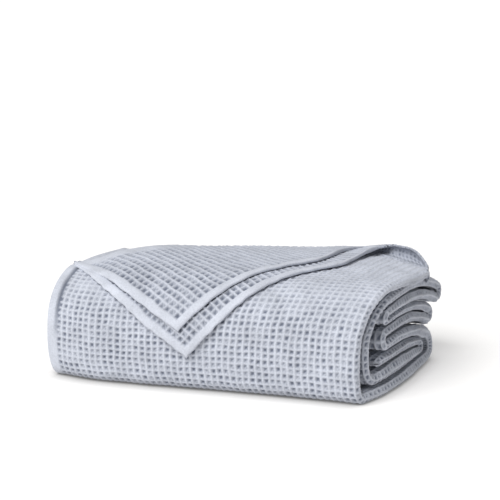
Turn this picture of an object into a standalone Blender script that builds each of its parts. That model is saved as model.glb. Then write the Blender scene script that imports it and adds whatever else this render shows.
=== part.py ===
"""Waffle weave cotton blanket, folded into a long package with one corner turned down.

The blanket is one cloth. It is pressed into a flat strip as long as the package, and
the strip is laid back and forth: its inner end lies at the heart, the folds stack up,
and the outer wrap goes round the bottom, the front and the top. The strip has a round
fold edge on its right and the open leaves of the cloth on its left. The back left
corner of the top wrap is turned over on a diagonal: two hemmed leaves lie across the
top and hang down the front. Strip and leaves are joined into one solid.

Lengths in the tables are millimetres. X runs along the package, Y from its front to
its back and Z up from the surface it lies on.
"""

import math

import bmesh
import bpy
import numpy as np

MM = 0.001

# Package and strip
RIGHT_END = 160.0
LEFT_END = -249.0
STRIP_LENGTH = RIGHT_END - LEFT_END
ROUND_LENGTH = 5.0
ROUND_STEPS = 6
FRONT_FACE = -10.0
END_TUCK = 29.0
END_TUCK_DEPTH = 50.0
PASS_STEP = 42.0
FOLD_TURN_STEP = math.radians(30.0)
WIDE_TURN_STEP = math.radians(15.0)
WIDE_FOLD = 60.0
HAIRPIN_TURN = math.radians(120.0)
HAIRPIN_REACH = 0.72
FREE_END_ANGLES = (35.0, 65.0, 82.0)
SMOOTH_ANGLE = math.radians(50.0)
COTTON = (0.52, 0.56, 0.66, 1.0)

# How the package sits: lower on the left, front face bowed along its length, and its
# back corners drawn in. Each span is where an effect starts and where it is full.
LEFT_SINK = 0.10
LEFT_BACK_SINK = 0.04
BACK_SINK_SPAN = (60.0, 200.0)
FRONT_BOW = 13.0
BOW_SPAN = (90.0, -190.0)
BOW_END_SPAN = (-259.0, -189.0)
LEFT_TUCK = 12.0
LEFT_TUCK_HEIGHT = 14.0
CORNER_PULL = 84.0
CORNER_DIP = 9.0
CORNER_SPAN = (70.0, 178.0)
RIM_DIP = 1.0
RIM_REACH = 5.0
RIM_SPAN = (110.0, 160.0)
BACK_ROUND = 30.0
BACK_ROUND_SPAN = (-170.0, LEFT_END)
RUN_PULL_START = 130.0

# One row for each pass of the strip, from its inner end to its outer end. Each pass
# runs from (y0, z0) to (y1, z1), bowed by `bow` (upward, or forward if it stands).
# Its thickness goes from t0 to t1, plus `swell` at its middle, and its round edge is
# set back by `inset`.
PASS_COLUMNS = ("name", "y0", "z0", "y1", "z1", "bow", "t0", "t1", "swell", "inset")
PASSES = (
    ("inner end", 34, 39, 172, 31.5, 5, 10, 10, 2, 5),
    ("inner bottom", 172, 19.8, 30, 22.5, 3, 9, 13, 5, 3),
    ("inner front", 12, 38, 13, 72, 2, 12, 12, 0, 3),
    ("third upper", 56, 109.5, 242, 84, 12, 11.5, 11, 1.5, 1),
    ("third lower", 236.5, 69.5, 54, 96, 11, 11, 11, 1.5, 1),
    ("second upper", 54, 84.5, 210, 62.6, 9.5, 8.5, 10.5, 0.5, 3),
    ("second lower", 205, 49.6, 50, 71.5, 10.5, 10, 11, 2, 3),
    ("first upper", 50, 57.5, 192, 37.5, 8, 11.5, 11.5, 1, 1),
    ("outer bottom", 192, 6.5, 5, 6.5, 0, 13, 13, 0, 0),
    ("outer front", -4, 16, -4, 76, 2, 13, 12, 0, 0),
    ("outer top", 58, 125.5, 246, 114.5, 6, 11, 12, 0, 0),
)

# Leaves of cloth at the strip's open left end: `top` and `foot` are their places
# through the thickness (from 1 to -1) and `short` is how far each falls short.
LEAF_COLUMNS = ("top", "foot", "short")
LEAVES = (
    (1.0, 0.42, 0.0),
    (0.26, -0.26, 5.0),
    (-0.42, -1.0, 2.0),
)
LEAF_GROOVE = 16.0
LEAF_ROUND = 1.5
GROOVE_RISE = 0.08
FACE_MARKS = (0.12, 0.3, 0.48, 0.66, 0.84)
LINING_MARKS = (0.8, 0.5, 0.2)

# Turned corner: where its fold starts on the left, its slant, hems and roll
CLOTH = 3.0
LEAF_GAP = 0.9
REST_GAP = 1.8
HEM = 9.5
HEM_STEP = 0.7
HEM_SLOPE = 1.0
FOLD_FOOT_X = -233.0
FOLD_FOOT_RUN = 182.0
FOLD_ANGLE = math.radians(24.9)
FOLD_START = -14.0
FOLD_REACH = 300.0
DROP_SPAN = (-4.0, 10.0)
DROP_RUN_SPAN = (120.0, 170.0)
LEFT_ARM = 215.7
GATHER = 0.9
ROLL_COLUMNS = ("along", "radius")
ROLL = (
    (0.0, 1.6),
    (40.0, 5.0),
    (98.0, 9.0),
    (140.0, 6.8),
    (200.0, 6.0),
    (250.0, 3.6),
    (300.0, 2.2),
    (350.0, 4.6),
    (390.0, 9.5),
    (404.0, 10.0),
    (416.0, 8.5),
    (428.0, 1.5),
)
ROLL_MIDDLE = 6.0
ROLL_TURNS = 6
ROLL_ROOT = 6.0
ROOT_DEPTH = 1.0
ROLL_SETTLE = 75.0
LEAF_STEP = 17.0
ROLL_STEP = 20.0

# One row for each turned leaf, the lower one first: how far its corner lies inside the
# lower leaf's, how its edges spread from square, and its height over the lower leaf.
# Distances along the fold: from `gather` on its flat part narrows, which ends at
# `flat_end`, and its roll ends at `roll_end`.
TURNED_COLUMNS = (
    "name", "left_inset", "right_inset", "left_spread", "right_spread",
    "lift", "gather", "flat_end", "roll_end",
)
TURNED = (
    ("lower leaf", 0.0, 0.0, 0.07, 0.0, 0.0, 290.0, 366.0, 428.0),
    ("upper leaf", 18.4, 27.9, 0.17, 0.03, CLOTH + LEAF_GAP, 265.0, 338.0, 342.0),
)


def rows(columns, table):
    """Give each row of a table as a dictionary by column name."""
    return [dict(zip(columns, row)) for row in table]


def ease(value, start, end):
    """Go smoothly from 0 at start to 1 at end."""
    part = np.clip((value - start) / (end - start), 0.0, 1.0)
    return part * part * (3.0 - 2.0 * part)


def pass_curve(row):
    """Sample one pass as a bowed line; give points and unit end directions."""
    start = np.array([row["y0"], row["z0"]], float)
    end = np.array([row["y1"], row["z1"]], float)
    flat = abs(end[0] - start[0]) > abs(end[1] - start[1])
    bow = np.array([0.0, 1.0]) if flat else np.array([-1.0, 0.0])
    middle = (start + end) / 2.0 + 2.0 * row["bow"] * bow
    count = max(2, math.ceil(np.linalg.norm(end - start) / PASS_STEP))
    u = np.linspace(0.0, 1.0, count + 1)[:, None]
    points = (1 - u) ** 2 * start + 2 * u * (1 - u) * middle + u**2 * end
    leave = (end - middle) / np.linalg.norm(end - middle)
    enter = (middle - start) / np.linalg.norm(middle - start)
    return points, enter, leave


def fold_curve(start, leave, end, enter):
    """Sample the round fold from one pass to the next, its two ends left out."""
    chord = np.linalg.norm(end - start)
    turn = math.acos(float(np.clip(leave @ enter, -1.0, 1.0)))
    radius = chord / (2.0 * math.sin(turn / 2.0))
    handle = 4.0 / 3.0 * math.tan(turn / 4.0) * radius
    if turn > HAIRPIN_TURN:
        handle = max(handle, HAIRPIN_REACH * chord)
    step = WIDE_TURN_STEP if chord > WIDE_FOLD else FOLD_TURN_STEP
    count = math.ceil(turn / step)
    u = np.linspace(0.0, 1.0, count + 1)[1:-1, None]
    a = start + handle * leave
    b = end - handle * enter
    points = (1 - u) ** 3 * start + 3 * u * (1 - u) ** 2 * a
    return points + 3 * u**2 * (1 - u) * b + u**3 * end


def strip_path():
    """Lay the whole strip: centre points, thicknesses, insets and outer-wrap start."""
    table = rows(PASS_COLUMNS, PASSES)
    curves = [pass_curve(row) for row in table]
    points, thick, inset = [], [], []
    for i, row in enumerate(table):
        line, enter, leave = curves[i]
        if row["name"] == "outer bottom":
            wrap_start = len(points)
        if i:
            before = table[i - 1]
            arc = fold_curve(curves[i - 1][0][-1], curves[i - 1][2], line[0], enter)
            share = np.linspace(0.0, 1.0, len(arc) + 2)[1:-1]
            points.extend(arc)
            thick.extend(before["t1"] + share * (row["t0"] - before["t1"]))
            inset.extend(before["inset"] + share * (row["inset"] - before["inset"]))
        points.extend(line)
        u = np.linspace(0.0, 1.0, len(line))
        swell = row["swell"] * 4.0 * u * (1.0 - u)
        thick.extend(row["t0"] + u * (row["t1"] - row["t0"]) + swell)
        inset.extend([row["inset"]] * len(line))
    return np.array(points), np.array(thick), np.array(inset), wrap_start


def unit_normals(points):
    """Find the left-hand unit normal at each point of a plane line."""
    steps = np.diff(points, axis=0)
    steps /= np.linalg.norm(steps, axis=1)[:, None]
    along = np.vstack([steps[:1], steps[1:] + steps[:-1], steps[-1:]])
    along /= np.linalg.norm(along, axis=1)[:, None]
    return np.stack([-along[:, 1], along[:, 0]], axis=1)


def strip_profile():
    """Outline the strip across its width: distances from both ends and half factors.

    Each point is (end, distance, side). A point near the right end is measured back
    from that end and one near the left end forward from the left.
    """
    points = []
    for leaf in rows(LEAF_COLUMNS, reversed(LEAVES)):
        points.append(("left", leaf["short"] + LEAF_ROUND, leaf["foot"]))
        points.append(("left", leaf["short"], (leaf["top"] + leaf["foot"]) / 2.0))
        points.append(("left", leaf["short"] + LEAF_ROUND, leaf["top"]))
        if leaf["top"] < 1.0:
            points.append(("left", LEAF_GROOVE, leaf["top"] + GROOVE_RISE))
    for share in FACE_MARKS:
        points.append(("left", share * STRIP_LENGTH, 1.0))
    for angle in np.linspace(0.0, math.pi, ROUND_STEPS + 1):
        points.append(("right", ROUND_LENGTH * (1.0 - math.sin(angle)), math.cos(angle)))
    for share in LINING_MARKS:
        points.append(("left", share * STRIP_LENGTH, -1.0))
    return points


def settle(x, y, z):
    """Let the whole package sit: lower on the left, with its front bowed."""
    left = ease(x, RIGHT_END, LEFT_END)
    z = z * (1.0 - LEFT_SINK * left - LEFT_BACK_SINK * left * ease(y, *BACK_SINK_SPAN))
    y = y - FRONT_BOW * ease(x, *BOW_SPAN) * ease(x, *BOW_END_SPAN)
    return np.stack([x, y, z], axis=-1)


def fold_run(x):
    """Give the run of the diagonal fold line along the outer wrap at an x."""
    return FOLD_FOOT_RUN + (x - FOLD_FOOT_X) * math.tan(FOLD_ANGLE)


def wrap_drop(x, run):
    """Sink the outer top behind the diagonal fold, where its leaves are turned off."""
    behind = (run - fold_run(x)) * math.cos(FOLD_ANGLE)
    return -(CLOTH + LEAF_GAP) * ease(behind, *DROP_SPAN) * ease(run, *DROP_RUN_SPAN)


class OuterWrap:
    """The outer face of the strip's last three passes, measured along its run.

    The run equals the height on the front face and goes on over the top.
    """

    def __init__(self, points, normals, thick, wrap_start):
        """Measure the outer face from the strip's path."""
        line = (points + normals * thick[:, None] / 2.0)[wrap_start:]
        table = rows(PASS_COLUMNS, PASSES)
        shoulder = next(row for row in table if row["name"] == "outer front")
        steps = np.linalg.norm(np.diff(line, axis=0), axis=1)
        run = np.concatenate([[0.0], np.cumsum(steps)])
        mark = np.argmin(np.hypot(line[:, 0] - shoulder["y1"], line[:, 1] - shoulder["z1"]))
        self.run = run - run[mark] + shoulder["z1"]
        self.line = line
        self.normals = normals[wrap_start:]

    def place(self, x, run, height):
        """Put a point at an x and a run, a height above the face.

        The roll gathers the face at its back right corner, and its back left corner is
        rounded: both are drawn in along the run. The gathered rim leans out and dips.
        """
        far = ease(run, RUN_PULL_START, self.run[-1])
        gather = ease(x, *CORNER_SPAN) * far
        rim = ease(x, *RIM_SPAN) * far
        run = run - CORNER_PULL * gather - BACK_ROUND * ease(x, *BACK_ROUND_SPAN) ** 2 * far
        over = np.maximum(run - self.run[-1], 0.0)
        last = self.line[-1] - self.line[-2]
        last /= np.linalg.norm(last)
        y, z = (np.interp(run, self.run, self.line[:, k]) + over * last[k] for k in (0, 1))
        out = np.stack([np.interp(run, self.run, self.normals[:, k]) for k in (0, 1)], -1)
        out /= np.linalg.norm(out, axis=-1)[..., None]
        z = z + out[..., 1] * height - CORNER_DIP * gather - RIM_DIP * rim
        return settle(x + RIM_REACH * rim, y + out[..., 0] * height, z)


def end_rows(points, thick, at_start):
    """Round off a free end of the strip: extra centre points and shrinking factors."""
    tip, inward = (points[0], points[1]) if at_start else (points[-1], points[-2])
    reach = (thick[0] if at_start else thick[-1]) / 2.0
    out = (tip - inward) / np.linalg.norm(tip - inward)
    angles = [math.radians(angle) for angle in FREE_END_ANGLES]
    extra = [(tip + out * reach * math.sin(a), math.cos(a)) for a in angles]
    return extra[::-1] if at_start else extra


def build_strip(points, thick, inset, wrap, wrap_start):
    """Loft the strip's outline along its whole path and close both free ends."""
    first = end_rows(points, thick, True)
    last = end_rows(points, thick, False)
    centres = np.array([e[0] for e in first] + list(points) + [e[0] for e in last])
    shrinks = np.array([e[1] for e in first] + [1.0] * len(points) + [e[1] for e in last])
    extra = len(FREE_END_ANGLES)
    full = np.concatenate([[thick[0]] * extra, thick, [thick[-1]] * extra]) / 2.0
    insets = np.concatenate([[inset[0]] * extra, inset, [inset[-1]] * extra])
    beyond = [wrap.run[-1] + np.linalg.norm(e[0] - points[-1]) for e in last]
    runs = np.concatenate([np.zeros(wrap_start + extra), wrap.run, beyond])
    normals = unit_normals(centres)
    bm = bmesh.new()
    rings = []
    sections = zip(centres, full, shrinks, insets, runs, normals)
    for centre, half, shrink, back, run, normal in sections:
        tuck = END_TUCK * math.exp((FRONT_FACE - centre[0]) / END_TUCK_DEPTH)
        left_tuck = LEFT_TUCK * math.exp(-centre[1] / LEFT_TUCK_HEIGHT)
        ring = []
        for end, distance, side in strip_profile():
            left_x = LEFT_END + left_tuck + distance
            right_x = RIGHT_END - tuck - back - distance
            x = left_x if end == "left" else right_x
            if run > RUN_PULL_START:
                drop = wrap_drop(x, run) * (side * shrink + 1.0) / 2.0
                at = wrap.place(x, run, half * (side * shrink - 1.0) + drop)
            else:
                y, z = centre + normal * half * shrink * side
                at = settle(x, y, z)
            ring.append(bm.verts.new(at * MM))
        rings.append(ring)
    for ring, after in zip(rings, rings[1:]):
        for j in range(len(ring)):
            k = (j + 1) % len(ring)
            bm.faces.new((ring[j], ring[k], after[k], after[j]))
    bm.faces.new(rings[0][::-1])
    bm.faces.new(rings[-1])
    bmesh.ops.recalc_face_normals(bm, faces=bm.faces)
    return bm


def roll_radius(along):
    """Give the roll's radius at a distance along the diagonal fold."""
    places, radii = zip(*ROLL)
    return float(np.interp(along, places, radii))


def edge_cuts(leaf, side, inward):
    """Give the line at a distance inside a leaf's left or right edge, as a cut."""
    p, q = leaf["left_inset"], leaf["right_inset"]
    if side == "left":
        return (p + inward, q, 0.0), (1.0, leaf["left_spread"], 0.0)
    return (p, q + inward, 0.0), (leaf["right_spread"], 1.0, 0.0)


def hem_cuts(leaf):
    """List the cuts at the inner line of both hems."""
    steps = (HEM, HEM + HEM_SLOPE)
    return [edge_cuts(leaf, side, step) for step in steps for side in ("left", "right")]


def even_cuts(leaf):
    """List the even cuts along and across the flat part of a leaf."""
    cuts = []
    for side, length in (("left", STRIP_LENGTH), ("right", LEFT_ARM)):
        count = math.ceil((length - HEM) / LEAF_STEP)
        places = np.linspace(HEM, length, count + 1)[1:-1]
        cuts += [edge_cuts(leaf, side, place) for place in places]
    return cuts


def on_leaf(along, past):
    """Give the flat leaf point at a distance along the fold and a distance past it."""
    c, s = math.cos(FOLD_ANGLE), math.sin(FOLD_ANGLE)
    return along * c + past * s, LEFT_ARM - along * s + past * c, 0.0


def cross_cuts(leaf):
    """List the even cuts square to the fold, for the rolled part of a leaf."""
    normal = (math.cos(FOLD_ANGLE), -math.sin(FOLD_ANGLE), 0.0)
    count = math.ceil((leaf["roll_end"] - FOLD_START) / ROLL_STEP)
    places = np.linspace(FOLD_START, leaf["roll_end"], count + 1)[1:-1]
    return [(on_leaf(place, 0.0), normal) for place in places]


def roll_cuts(leaf):
    """List the cuts along the roll, at even steps of its half turn."""
    normal = (math.sin(FOLD_ANGLE), math.cos(FOLD_ANGLE), 0.0)
    reach = math.pi * (ROLL_MIDDLE + leaf["lift"])
    places = np.linspace(0.0, reach, ROLL_TURNS + 1)[1:]
    return [(on_leaf(0.0, place), normal) for place in places]


def cut_leaf(bm, cuts, side=None):
    """Cut the flat leaf along lines: all of it, its flat part (-1) or its roll (1)."""
    c, s = math.cos(FOLD_ANGLE), math.sin(FOLD_ANGLE)
    for point, normal in cuts:
        faces = bm.faces[:]
        if side:
            centres = [face.calc_center_median() for face in faces]
            past = [co.x * s + (co.y - LEFT_ARM) * c for co in centres]
            faces = [face for face, value in zip(faces, past) if value * side > 0.0]
        edges = {edge for face in faces for edge in face.edges}
        verts = {vert for face in faces for vert in face.verts}
        geometry = list(verts) + list(edges) + faces
        bmesh.ops.bisect_plane(bm, geom=geometry, plane_co=point, plane_no=normal)


def leaf_position(leaf, p, q, wrap):
    """Drape a point of the flat leaf: flat over the top, or round the diagonal roll.

    The point lies p along the right arm and q along the left arm from the tip of the
    lower leaf.
    """
    c, s = math.cos(FOLD_ANGLE), math.sin(FOLD_ANGLE)
    past = p * s + (q - LEFT_ARM) * c
    along = p * c - (q - LEFT_ARM) * s
    radius = roll_radius(along)
    even = ROLL_MIDDLE + leaf["lift"]
    deep = radius + leaf["lift"]
    tall = radius + leaf["lift"] / 2.0
    rest = CLOTH / 2.0 + REST_GAP + leaf["lift"]
    top = 2.0 * tall - ROOT_DEPTH
    if past > 0.0:
        turn = min(past / even, math.pi)
        behind = deep * math.sin(turn) - max(past - math.pi * even, 0.0)
        height = tall * (1.0 + math.cos(turn)) - ROOT_DEPTH
    else:
        behind = past * (1.0 - GATHER * ease(along, leaf["gather"], leaf["flat_end"]))
        height = rest + (top - rest) * math.exp(-((behind / ROLL_SETTLE) ** 2))
    x = FOLD_FOOT_X + along * c - behind * s
    run = FOLD_FOOT_RUN + along * s + behind * c
    return wrap.place(x, run, height)


def flat_leaf(leaf):
    """Lay out a leaf flat: its turned corner and the roll that carries it."""
    root = math.pi * (ROLL_MIDDLE + leaf["lift"]) + ROLL_ROOT
    bm = bmesh.new()
    start = bm.verts.new(on_leaf(FOLD_START, 0.0))
    end = bm.verts.new(on_leaf(leaf["flat_end"], 0.0))
    front = [bm.verts.new(on_leaf(a, -FOLD_REACH)) for a in (leaf["flat_end"], FOLD_START)]
    roll = [
        bm.verts.new(on_leaf(along, past))
        for along, past in ((leaf["roll_end"], 0.0), (leaf["roll_end"], root), (FOLD_START, root))
    ]
    bm.faces.new([start, *front[::-1], end])
    bm.faces.new([start, end, *roll])
    for side in ("left", "right"):
        point, normal = edge_cuts(leaf, side, 0.0)
        geometry = bm.verts[:] + bm.edges[:] + bm.faces[:]
        bmesh.ops.bisect_plane(
            bm, geom=geometry, plane_co=point, plane_no=normal, clear_inner=True
        )
    return bm


def build_leaf(leaf, wrap):
    """Cut one turned leaf flat, drape it and mark its hems for extra thickness."""
    bm = flat_leaf(leaf)
    cut_leaf(bm, hem_cuts(leaf) + roll_cuts(leaf))
    cut_leaf(bm, even_cuts(leaf), -1)
    cut_leaf(bm, cross_cuts(leaf), 1)
    bmesh.ops.remove_doubles(bm, verts=bm.verts, dist=HEM_SLOPE / 2.0)
    mesh = bpy.data.meshes.new(leaf["name"])
    bm.to_mesh(mesh)
    bm.free()
    hem = []
    for vert in mesh.vertices:
        p = vert.co.x - leaf["left_inset"]
        q = vert.co.y - leaf["right_inset"]
        inward = min(p + leaf["left_spread"] * q, q + leaf["right_spread"] * p)
        if inward < HEM + HEM_SLOPE / 2.0:
            hem.append(vert.index)
        vert.co = leaf_position(leaf, vert.co.x, vert.co.y, wrap) * MM
    return mesh, hem


def collection(name, hidden=False):
    """Make a collection in the scene, hidden if it only holds operands."""
    made = bpy.data.collections.new(name)
    made.hide_render = hidden
    bpy.context.scene.collection.children.link(made)
    return made


def cotton():
    """Make the plain pale blue cotton of the cloth."""
    material = bpy.data.materials.new("pale blue cotton")
    material.use_nodes = True
    surface = material.node_tree.nodes["Principled BSDF"]
    surface.inputs["Base Color"].default_value = COTTON
    surface.inputs["Roughness"].default_value = 0.9
    surface.inputs["Metallic"].default_value = 0.0
    return material


def place_leaf(leaf, wrap, operands):
    """Make one turned leaf a solid sheet, thicker in its hems."""
    mesh, hem = build_leaf(leaf, wrap)
    sheet = bpy.data.objects.new(leaf["name"], mesh)
    operands.objects.link(sheet)
    group = sheet.vertex_groups.new(name="hem")
    group.add(hem, 1.0, "REPLACE")
    solid = sheet.modifiers.new("cloth", "SOLIDIFY")
    solid.thickness = (CLOTH + HEM_STEP) * MM
    solid.offset = 0.0
    solid.use_even_offset = False
    solid.vertex_group = group.name
    solid.thickness_vertex_group = CLOTH / (CLOTH + HEM_STEP)
    sheet.display_type = "WIRE"
    sheet.hide_render = True
    return sheet


def evaluated(thing):
    """Give the finished mesh of an object with its modifiers applied."""
    graph = bpy.context.evaluated_depsgraph_get()
    return bpy.data.meshes.new_from_object(thing.evaluated_get(graph), depsgraph=graph)


def stand(mesh):
    """Set the mesh down with the middle of its footprint at the origin."""
    points = np.array([vert.co for vert in mesh.vertices])
    low, high = points.min(axis=0), points.max(axis=0)
    shift = -np.array([(low[0] + high[0]) / 2.0, (low[1] + high[1]) / 2.0, low[2]])
    for vert in mesh.vertices:
        vert.co = np.array(vert.co) + shift


def main():
    """Build the folded blanket as one solid."""
    for thing in list(bpy.data.objects):
        bpy.data.objects.remove(thing, do_unlink=True)
    product = collection("Blanket")
    operands = collection("Turned leaves", hidden=True)
    points, thick, inset, wrap_start = strip_path()
    wrap = OuterWrap(points, unit_normals(points), thick, wrap_start)
    bm = build_strip(points, thick, inset, wrap, wrap_start)
    mesh = bpy.data.meshes.new("blanket")
    bm.to_mesh(mesh)
    bm.free()
    blanket = bpy.data.objects.new("blanket", mesh)
    product.objects.link(blanket)
    for leaf in rows(TURNED_COLUMNS, TURNED):
        join = blanket.modifiers.new(leaf["name"], "BOOLEAN")
        join.operation = "UNION"
        join.solver = "EXACT"
        join.object = place_leaf(leaf, wrap, operands)
    whole = evaluated(blanket)
    stand(whole)
    blanket.modifiers.clear()
    blanket.data = whole
    blanket.data.materials.clear()
    blanket.data.materials.append(cotton())
    blanket.data.shade_smooth()
    blanket.data.set_sharp_from_angle(angle=SMOOTH_ANGLE)


main()
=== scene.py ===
# %% [markdown]
# # A folded waffle weave blanket
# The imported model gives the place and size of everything: one solid for the folded
# cloth. This lesson lays a finer cloth over the same folds, with its waffle cells and
# plain hems, and then sets a floor, a light and a camera.

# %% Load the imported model
import math

import bpy
import numpy as np
from mathutils import Matrix, Vector


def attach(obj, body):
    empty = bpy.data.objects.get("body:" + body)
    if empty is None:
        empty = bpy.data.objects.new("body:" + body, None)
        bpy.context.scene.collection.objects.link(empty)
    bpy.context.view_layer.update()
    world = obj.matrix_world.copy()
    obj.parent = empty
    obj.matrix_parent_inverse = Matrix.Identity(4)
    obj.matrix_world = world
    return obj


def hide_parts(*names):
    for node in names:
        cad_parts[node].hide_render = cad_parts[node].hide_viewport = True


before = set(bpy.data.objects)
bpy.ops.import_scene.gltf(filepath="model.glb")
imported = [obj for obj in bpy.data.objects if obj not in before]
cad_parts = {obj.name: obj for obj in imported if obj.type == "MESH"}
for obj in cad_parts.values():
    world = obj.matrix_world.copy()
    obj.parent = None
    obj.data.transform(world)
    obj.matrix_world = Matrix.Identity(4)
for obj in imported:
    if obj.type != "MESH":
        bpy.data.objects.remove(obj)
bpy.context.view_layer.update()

MM = 0.001

# %% [markdown]
# ## Passes of the strip
# The blanket is pressed into a flat strip and the strip is laid back and forth. Such a
# heap of folds could be sculpted, but a table keeps every fold editable. A row stands for
# each pass, seen from the right end: it runs from (y0, z0) to (y1, z1) in millimetres,
# bowed by `bow`, its thickness goes from t0 to t1 plus a swell, and its right edge lies
# `inset` further in than the outer wrap's.

# %% Passes of the strip
RIGHT_END = 160.0
LEFT_END = -249.0
STRIP_LENGTH = RIGHT_END - LEFT_END
PASS_COLUMNS = ("name", "y0", "z0", "y1", "z1", "bow", "t0", "t1", "swell", "inset")
PASSES = (
    ("inner end", 34, 39, 172, 31.5, 5, 10, 10, 2, 5),
    ("inner bottom", 172, 19.8, 30, 22.5, 3, 9, 13, 5, 3),
    ("inner front", 12, 38, 13, 72, 2, 12, 12, 0, 3),
    ("third upper", 56, 109.5, 242, 84, 12, 11.5, 11, 1.5, 1),
    ("third lower", 236.5, 69.5, 54, 96, 11, 11, 11, 1.5, 1),
    ("second upper", 54, 84.5, 210, 62.6, 9.5, 8.5, 10.5, 0.5, 3),
    ("second lower", 205, 49.6, 50, 71.5, 10.5, 10, 11, 2, 3),
    ("first upper", 50, 57.5, 192, 37.5, 8, 11.5, 11.5, 1, 1),
    ("outer bottom", 192, 6.5, 5, 6.5, 0, 13, 13, 0, 0),
    ("outer front", -4, 16, -4, 76, 2, 13, 12, 0, 0),
    ("outer top", 58, 125.5, 246, 114.5, 6, 11, 12, 0, 0),
)
passes = [dict(zip(PASS_COLUMNS, row)) for row in PASSES]
print(len(passes), "passes of a strip", STRIP_LENGTH, "mm across")

# %% [markdown]
# ## A smooth step
# Pressed cloth goes from one shape to the next without a corner. A straight ramp would
# show a crease at both its ends, so each change here follows a curve that starts and ends
# level.

# %% Smooth step
def ease(value, start, end):
    """Go smoothly from 0 at start to 1 at end."""
    part = np.clip((value - start) / (end - start), 0.0, 1.0)
    return part * part * (3.0 - 2.0 * part)


print("a quarter of the way along, a smooth step is at", ease(0.25, 0.0, 1.0))

# %% [markdown]
# ## The line of a pass
# A pass lies nearly flat, or stands at the front, and bows a little. A Bezier object drawn
# by hand could follow it. A formula with one control point is as smooth, and also gives
# the directions at the two ends, which the folds need.

# %% Line of a pass
PATH_STEP = 1.0


def pass_curve(row, step):
    """Sample one pass as a bowed line; give its points and end directions."""
    start = np.array([row["y0"], row["z0"]], float)
    end = np.array([row["y1"], row["z1"]], float)
    flat = abs(end[0] - start[0]) > abs(end[1] - start[1])
    bow = np.array([0.0, 1.0]) if flat else np.array([-1.0, 0.0])
    middle = (start + end) / 2.0 + 2.0 * row["bow"] * bow
    count = max(2, math.ceil(np.linalg.norm(end - start) / step))
    u = np.linspace(0.0, 1.0, count + 1)[:, None]
    points = (1 - u) ** 2 * start + 2 * u * (1 - u) * middle + u**2 * end
    leave = (end - middle) / np.linalg.norm(end - middle)
    enter = (middle - start) / np.linalg.norm(middle - start)
    return points, enter, leave


print(passes[-1]["name"], "has", len(pass_curve(passes[-1], PATH_STEP)[0]), "points")

# %% [markdown]
# ## The round of a fold
# Between two passes the strip turns back in a soft round. A half circle would only fit
# passes that lie side by side, so each fold is a cubic curve that leaves one pass and
# enters the next in their own directions. A hairpin reaches a little further out.

# %% Round of a fold
HAIRPIN_TURN = math.radians(120.0)
HAIRPIN_REACH = 0.72


def fold_curve(start, leave, end, enter, step):
    """Sample the round fold from one pass to the next, its two ends left out."""
    chord = np.linalg.norm(end - start)
    turn = math.acos(float(np.clip(leave @ enter, -1.0, 1.0)))
    radius = chord / (2.0 * math.sin(turn / 2.0))
    handle = 4.0 / 3.0 * math.tan(turn / 4.0) * radius
    if turn > HAIRPIN_TURN:
        handle = max(handle, HAIRPIN_REACH * chord)
    count = max(4, math.ceil(radius * turn / step))
    u = np.linspace(0.0, 1.0, count + 1)[1:-1, None]
    a = start + handle * leave
    b = end - handle * enter
    points = (1 - u) ** 3 * start + 3 * u * (1 - u) ** 2 * a
    return points + 3 * u**2 * (1 - u) * b + u**3 * end


print("hairpins turn more than", round(math.degrees(HAIRPIN_TURN)), "degrees")

# %% [markdown]
# ## The whole strip
# Passes and folds join into one long path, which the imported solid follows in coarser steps.
# Each point keeps the strip's thickness and inset. Where a pass starts and ends is kept by
# name, so that later pieces can say which stretch they cover.

# %% Whole strip
def strip_path(step):
    """Lay the whole strip: points, thicknesses, insets, and each pass's two ends."""
    curves = [pass_curve(row, step) for row in passes]
    points, thick, inset, starts, ends = [], [], [], {}, {}
    for i, row in enumerate(passes):
        line, enter = curves[i][:2]
        if i:
            before = passes[i - 1]
            arc = fold_curve(curves[i - 1][0][-1], curves[i - 1][2], line[0], enter, step)
            share = np.linspace(0.0, 1.0, len(arc) + 2)[1:-1]
            points.extend(arc)
            thick.extend(before["t1"] + share * (row["t0"] - before["t1"]))
            inset.extend(before["inset"] + share * (row["inset"] - before["inset"]))
        starts[row["name"]] = len(points)
        points.extend(line)
        ends[row["name"]] = len(points) - 1
        u = np.linspace(0.0, 1.0, len(line))
        thick.extend(row["t0"] + u * (row["t1"] - row["t0"]) + row["swell"] * 4 * u * (1 - u))
        inset.extend([row["inset"]] * len(line))
    return np.array(points), np.array(thick), np.array(inset, float), starts, ends


path, path_thick, path_inset, pass_at, pass_end = strip_path(PATH_STEP)
print("the strip's path has", len(path), "points")

# %% [markdown]
# ## Swells beside the back folds
# Next to a fold the pressed layers spring open a little, and close the notches between the
# back folds. Each swell is a bell curve, up to 5 mm high, added to the thickness near the
# start or the end of a pass.

# %% Swells beside the back folds
PUFF_REACH = 12.0
PUFFS = (
    ("third lower", "start", 2.6),
    ("second upper", "end", 2.6),
    ("second lower", "start", 4.4),
    ("first upper", "end", 5.0),
)

point_number = np.arange(len(path))
for pass_name, where, puff in PUFFS:
    at_start, at_end = pass_at[pass_name] + PUFF_REACH, pass_end[pass_name] - PUFF_REACH
    middle = at_start if where == "start" else at_end
    path_thick += puff * np.exp(-(((point_number - middle) / PUFF_REACH) ** 2))
print("the strip is at most", round(path_thick.max(), 1), "mm thick")

# %% [markdown]
# ## Out of the path and along it
# The strip's two faces lie half a thickness off its path, so each point needs the
# direction that points out. Taking it from the steps before and after the point keeps the
# faces smooth. The length along the path says where each row of cells comes.

# %% Faces and lengths of the path
def unit_normals(points):
    """Find the left-hand unit normal at each point of a plane line."""
    steps = np.diff(points, axis=0)
    steps /= np.linalg.norm(steps, axis=1)[:, None]
    along = np.vstack([steps[:1], steps[1:] + steps[:-1], steps[-1:]])
    along /= np.linalg.norm(along, axis=1)[:, None]
    return np.stack([-along[:, 1], along[:, 0]], axis=1)


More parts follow.
